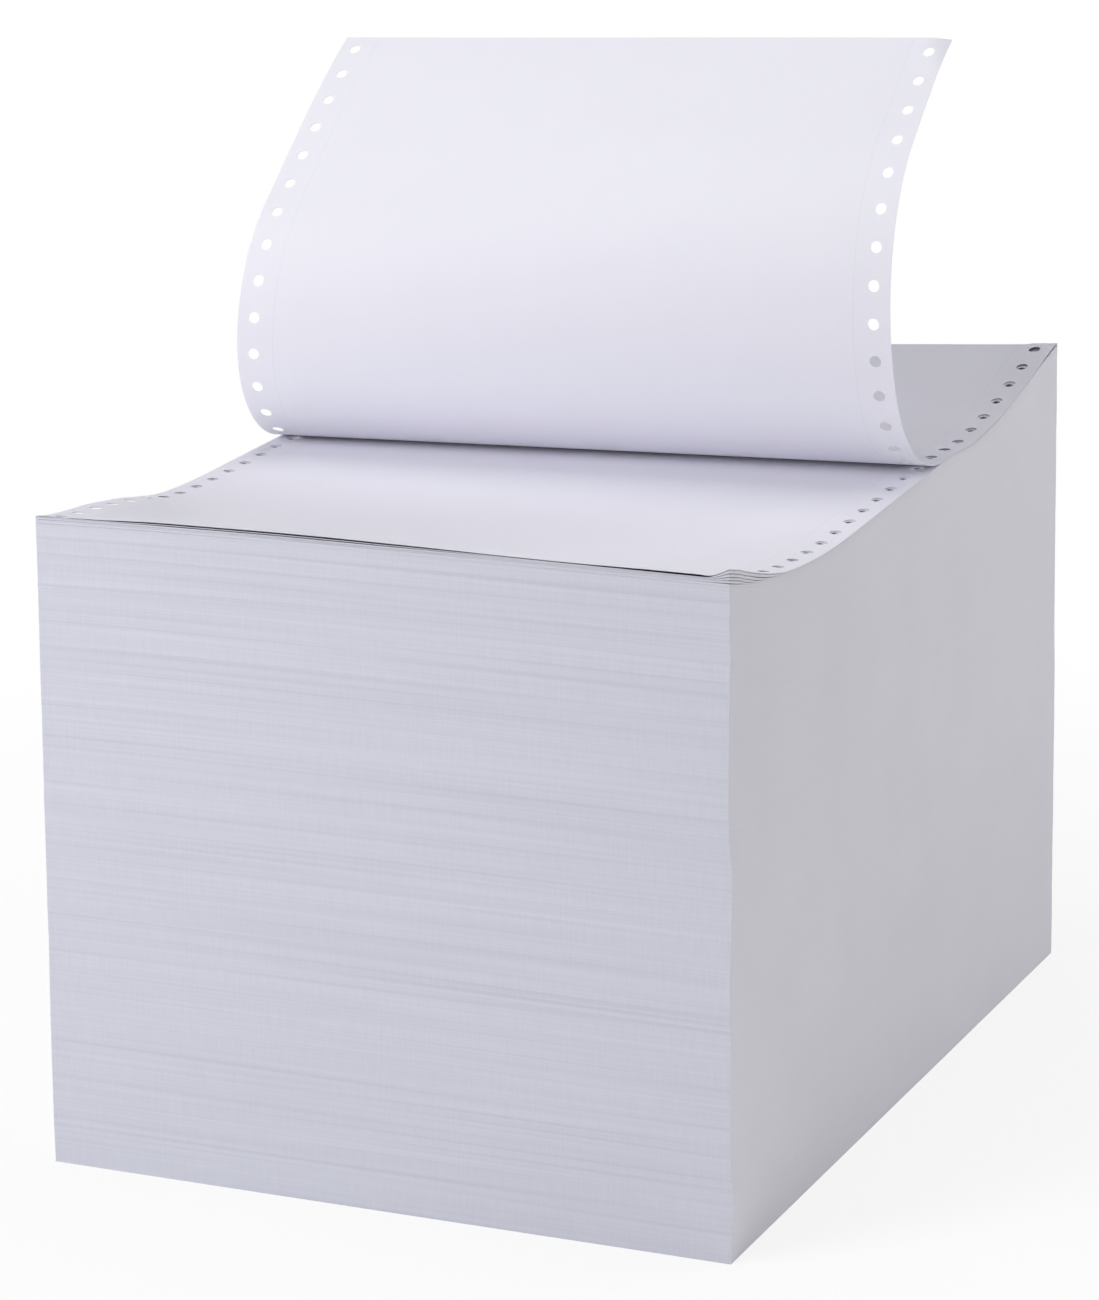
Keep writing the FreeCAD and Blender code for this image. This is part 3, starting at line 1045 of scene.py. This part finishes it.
class Tree:
    """The node tree of a material or the world, built by expressions."""

    def __init__(self, owner: bpy.types.Material | bpy.types.World) -> None:
        """Empties the owner's tree.

        Args:
            owner: The material or world.
        """
        owner.use_nodes = True
        self.owner, self.nodes, self.links = owner, owner.node_tree.nodes, owner.node_tree.links
        self.nodes.clear()

    def node(self, kind: str, settings: dict, inputs: dict) -> bpy.types.Node:
        """Adds a node.

        Args:
            kind: Its type, without ShaderNode in front.
            settings: Properties, which are set first.
            inputs: Values or links by socket name or place.

        Returns:
            The node.
        """
        made = self.nodes.new("ShaderNode" + kind)
        for key, value in settings.items():
            setattr(made, key, value)
        for key, value in inputs.items():
            value = value.socket if isinstance(value, Value) else value
            if isinstance(value, Socket):
                self.links.new(value, made.inputs[key])
            else:
                made.inputs[key].default_value = value
        return made

    def number(self, kind: str, settings: dict, inputs: dict, output: int | str = 0) -> Value:
        """Adds a node and gives one of its outputs as a number."""
        return Value(self, self.node(kind, settings, inputs).outputs[output])

    def lay(self) -> tuple[Value, Value, Socket]:
        """The piece's UV map in metres.

        Returns:
            The place along the face, the place up or down it, and both as a vector.
        """
        vector = self.node("UVMap", {"uv_map": UV_NAME}, {}).outputs["UV"]
        parts = self.node("SeparateXYZ", {}, {0: vector}).outputs
        return Value(self, parts[0]), Value(self, parts[1]), vector

    def noise(self, vector: Socket, scale: Triple, detail: float) -> Value:
        """Noise from 0 to 1 at coordinates in metres, with scale grains to the metre along each axis."""
        spread = self.node("Mapping", {}, {"Vector": vector, "Scale": scale}).outputs[0]
        return self.number("TexNoise", {}, {"Vector": spread, "Scale": 1.0, "Detail": detail})

    def mix(self, share: Value, low: tuple, high: tuple | Socket) -> Socket:
        """Colour between two colours.

        Args:
            share: 0 for the first colour, 1 for the second.
            low: The first colour, or a colour socket.
            high: The second.

        Returns:
            The mixed colour.
        """
        low, high = ((*c, 1.0) if isinstance(c, tuple) else c for c in (low, high))
        made = self.node("Mix", {"data_type": "RGBA"}, {0: share, 6: low, 7: high})
        return made.outputs[2]

    def looked_at(self) -> Value:
        """1 where the camera sees the surface, straight or by reflection, and 0 for other light."""
        path = self.node("LightPath", {}, {}).outputs
        return Value(self, path["Is Camera Ray"]).maths("MAXIMUM", Value(self, path["Is Glossy Ray"]))

    def mix_shaders(self, share: Value, low: bpy.types.Node, high: bpy.types.Node) -> Socket:
        """Shader between two others: 0 gives the first, 1 the second."""
        mix = self.node("MixShader", {}, {0: share, 1: low.outputs[0], 2: high.outputs[0]})
        return mix.outputs[0]


@dataclass(frozen=True)
class Grain:
    """One noise in a finish.

    Attributes:
        scale: Grains to the metre along each axis.
        detail: Octaves of finer noise.
        tone: Its share of the tone.
        height: Its share of the bump height.
    """

    scale: Triple
    detail: float
    tone: float
    height: float = 0.0


@dataclass(frozen=True)
class Finish:
    """A procedural finish: tone and bump height are sums of noises, and marks may lie over them.

    Attributes:
        name: What its material is called.
        light: Its lightest tone.
        dark: Its darkest tone.
        grains: Its noises.
        depth: What a bump height of 1 stands for, in metres.
        roughness: The same all over.
        gain: How far the tone is spread about its middle.
        thin: How much light passes through, from 0 to 1.
        mark: Tone of its marks, which for grooves is painted shade.
        mark_share: How far a full mark takes on that tone.
        mark_depth: Bump height that a full mark takes away.
    """

    name: str
    light: Triple
    dark: Triple
    grains: tuple[Grain, ...]
    depth: float
    roughness: float
    gain: float = 1.0
    thin: float = 0.0
    mark: Triple = (0, 0, 0)
    mark_share: float = 0.0
    mark_depth: float = 0.0

    def marks(self, tree: Tree) -> Value | None:
        """Marks, from 0 for none to 1 for full: a plain finish has none."""
        return None

    def make(self) -> bpy.types.Material:
        """Builds the material.

        Returns:
            The material.
        """
        tree = Tree(bpy.data.materials.new(self.name))
        noises = [tree.noise(tree.lay()[2], grain.scale, grain.detail) for grain in self.grains]
        tone = sum(noise * grain.tone for noise, grain in zip(noises, self.grains))
        height = sum(noise * grain.height for noise, grain in zip(noises, self.grains) if grain.height)
        colour = tree.mix(((tone - 0.5) * self.gain + 0.5).held(), self.dark, self.light)
        marks = self.marks(tree)
        if marks is not None:
            colour = tree.mix(marks * self.mark_share, colour, self.mark)
            height = height - marks * self.mark_depth
        bump = tree.node("Bump", {}, {"Height": height, "Distance": self.depth, "Strength": 1.0})
        shader = tree.node("BsdfPrincipled", {}, {
            "Base Color": colour, "Normal": bump.outputs[0], "Roughness": self.roughness,
            "Specular IOR Level": 0.25, "Subsurface Weight": self.thin,
            "Subsurface Radius": (1, 1, 1), "Subsurface Scale": 0.5 * MM})
        tree.node("OutputMaterial", {}, {"Surface": shader.outputs[0]})
        return tree.owner


@dataclass(frozen=True)
class Perforated(Finish):
    """A finish with the tear-off perforations along both side edges.

    Attributes:
        tear: Side edge to the perforation, in metres.
        stitch: One tie and one cut of it, in metres.
        tie: The tie's part of that.
        blur: Half the width of the line, in metres.
        tied: How strong the mark is at a tie.
    """

    tear: float = WEB.tear * MM
    stitch: float = 1.6 * MM
    tie: float = 0.35 * MM
    blur: float = 0.2 * MM
    tied: float = 0.35

    def marks(self, tree: Tree) -> Value:
        """The perforations: full at the cuts and fainter at the ties.

        Args:
            tree: The material's tree.

        Returns:
            Marks from 0 to 1.
        """
        u, v, _ = tree.lay()
        inward = WEB.width * MM / 2 - (u - WEB.width * MM / 2).size()
        away = (inward - self.tear).size()
        is_cut = (v.rest(self.stitch) - self.tie).maths("GREATER_THAN", 0.0)
        return (1 - away / self.blur).held() * (self.tied + is_cut * (1 - self.tied))


@dataclass(frozen=True)
class Lined(Finish):
    """A finish with grooves where a noise of its own is high: dents in the bump, darkened in colour as
    painted shade.

    Attributes:
        lines: Grains to the metre of that noise.
        over: Above what noise a groove begins.
        edge: How steeply it grows to a full one.
    """

    lines: Triple = (3, 560, 7)
    over: float = 0.56
    edge: float = 5.0

    def marks(self, tree: Tree) -> Value:
        """The grooves: dents, and painted shade in the colour."""
        return ((tree.noise(tree.lay()[2], self.lines, 1) - self.over) * self.edge).held()


FINISHES = {
    Face.PAGE: Perforated(
        "page_paper", (0.832, 0.824, 0.904), (0.806, 0.798, 0.882),
        (Grain((34, 34, 1), 3, 0.6, 0.2), Grain((900, 1500, 1), 3, 0.4, 0.5)),
        0.03 * MM, 0.78, thin=0.25, mark=(0.62, 0.62, 0.69), mark_share=0.4, mark_depth=0.6),
    # Fold faces: the same paper as the pages, its tones set darker as painted shade of the packed fold
    # ridges; its grooves are dents whose darker tone is painted shade
    Face.FOLD: Lined(
        "fold_faces", (0.685, 0.69, 0.775), (0.60, 0.607, 0.685),
        (Grain((9, 2300, 1), 2, 0.34, 0.45), Grain((4, 620, 1), 2, 0.32, 0.5),
         Grain((4, 130, 1), 2, 0.18), Grain((1150, 90, 1), 1, 0.16, 0.1)),
        0.09 * MM, 0.82, 3.4, mark=(0.46, 0.47, 0.55), mark_share=0.28, mark_depth=0.25),
    # Cut edges: the same paper as the pages, its tones set lighter than the page paper as painted light on
    # the side faces
    Face.CUT: Finish(
        "cut_edges", (0.91, 0.901, 0.97), (0.86, 0.851, 0.908),
        (Grain((26, 20, 1), 3, 0.55), Grain((10, 700, 1), 2, 0.25, 0.6), Grain((420, 900, 1), 2, 0.2, 0.4)),
        0.03 * MM, 0.85, 2.0),
    # Hole walls: the same paper, its tones set darker as painted shade down in the sprocket holes and between
    # the sheet edges of their walls
    Face.HOLE: Finish(
        "hole_walls", (0.72, 0.73, 0.80), (0.52, 0.53, 0.60),
        (Grain((60, 1400, 1), 2, 1.0, 1.0),),
        0.05 * MM, 0.9),
}


@dataclass(frozen=True)
class Lamp:
    """A square soft lamp.

    Attributes:
        name: What it is called.
        place: Where it stands, in metres.
        size: Its side, in metres.
        power: In watts.
    """

    name: str
    place: Triple
    size: float
    power: float


LAMPS = (
    Lamp("key", (-1.5, -2.2, 1.9), 1.6, 27.5),
    Lamp("near_left", (-0.9, -1.1, 0.8), 0.8, 9.8),
    Lamp("near_right", (1.1, 0.9, 0.7), 0.8, 5.4),
    Lamp("top", (0.0, 0.2, 2.6), 1.6, 21.6),
    Lamp("back_right", (1.5, 2.2, 1.6), 1.6, 2),
    Lamp("back_left", (-1.5, 2.0, 1.6), 1.6, 2.5),
)


@dataclass(frozen=True)
class Studio:
    """Camera, floor, lamps and white surroundings.

    Attributes:
        azimuth: Degrees that the camera stands to the right of the front.
        elevation: Degrees that it stands above the horizon.
        roll: Degrees that it is turned clockwise.
        place: Where it stands, in metres.
        focal: Focal length for a 36 mm sensor.
        aim: What the lamps look at, in metres.
        world_light: Strength of the world's light on the object.
        floor_radius: Radius of the floor, in metres.
        fade: Where the floor begins to run into plain white, and over what length, in metres.
        white: Share of plain white in the floor near the pile, where it is looked at.
    """

    azimuth: float = 23.06
    elevation: float = 18.41
    roll: float = 0.58
    place: Triple = (1.020, -2.4094, 1.016)
    focal: float = 227.7
    aim: Triple = (0, 0, 0.14)
    world_light: float = 0.15
    floor_radius: float = 6.0
    fade: tuple[float, float] = (0.18, 0.3)
    white: float = 0.82

    def camera(self) -> None:
        """Sets the camera: it looks along -back, its upright turned by the roll."""
        a, e, r = (math.radians(t) for t in (self.azimuth, self.elevation, self.roll))
        back = Vector((math.sin(a) * math.cos(e), -math.cos(a) * math.cos(e), math.sin(e)))
        right = (-back).cross(Vector((0, 0, 1))).normalized()
        down = (-back).cross(right)
        x = right * math.cos(r) + down * math.sin(r)
        y = right * math.sin(r) - down * math.cos(r)
        data = bpy.data.cameras.new("camera")
        data.lens, data.sensor_width = self.focal, 36
        data.clip_start, data.clip_end = 0.05, 60
        made = new_object("camera", data)
        made.matrix_world = Matrix.Translation(self.place) @ Matrix((x, y, back)).transposed().to_4x4()
        bpy.context.scene.camera = made

    def lamps(self) -> None:
        """Adds the lamps, each aimed at the middle of the pile."""
        for lamp in LAMPS:
            data = bpy.data.lights.new(lamp.name, "AREA")
            data.shape, data.size, data.energy = "SQUARE", lamp.size, lamp.power
            aim = (Vector(self.aim) - Vector(lamp.place)).to_track_quat("-Z", "Y").to_matrix().to_4x4()
            new_object(lamp.name, data).matrix_world = Matrix.Translation(lamp.place) @ aim

    def surroundings(self) -> None:
        """White world: soft light on the object, plain white where it is seen."""
        bpy.context.scene.world = bpy.data.worlds.new("studio")
        tree = Tree(bpy.context.scene.world)
        lit = tree.node("Background", {}, {
            "Color": (0.97, 0.98, 1, 1), "Strength": self.world_light})
        seen = tree.node("Background", {}, {"Color": (1, 1, 1, 1)})
        tree.node("OutputWorld", {}, {"Surface": tree.mix_shaders(tree.looked_at(), lit, seen)})

    def floor(self) -> None:
        """Round pale floor that keeps the pile's soft shadow and runs into white far out."""
        count = 96
        angle = np.arange(count) * 2 * math.pi / count
        ring = np.stack((np.cos(angle), np.sin(angle), 0 * angle), -1) * self.floor_radius
        mesh = bpy.data.meshes.new("floor")
        mesh.from_pydata(ring.tolist(), [], [list(range(count))])
        tree = Tree(bpy.data.materials.new("floor_white"))
        place = tree.node("TexCoord", {}, {}).outputs["Object"]
        distance = tree.number("VectorMath", {"operation": "LENGTH"}, {0: place}, "Value")
        grain = tree.noise(place, (3, 3, 3), 2)
        matt = tree.node("BsdfDiffuse", {}, {
            "Color": tree.mix(grain, (0.90, 0.90, 0.905), (0.92, 0.92, 0.92))})
        white = tree.node("Emission", {}, {"Color": (1, 1, 1, 1), "Strength": 1.0})
        begin, length = self.fade
        far = ((distance - begin) / length).held()
        share = tree.looked_at() * (self.white + far * (1 - self.white))
        tree.node("OutputMaterial", {}, {"Surface": tree.mix_shaders(share, matt, white)})
        mesh.materials.append(tree.owner)
        new_object("floor", mesh)

    def build(self) -> None:
        """Sets up the whole studio."""
        self.camera()
        self.surroundings()
        self.floor()
        self.lamps()
        bpy.context.scene.view_settings.view_transform = "Standard"


def main() -> None:
    """Builds the studio, the pile, its packets and the end of the web."""
    logging.basicConfig(level=logging.INFO, format="%(name)s %(message)s")
    Studio().build()
    finishes = [FINISHES[face].make() for face in Face]
    hand_over(Pile(finishes).build())
    for packet in Packets(finishes).build():
        hand_over(packet)
    hand_over(EndOfWeb(finishes).build())


if __name__ == "__main__":
    main()
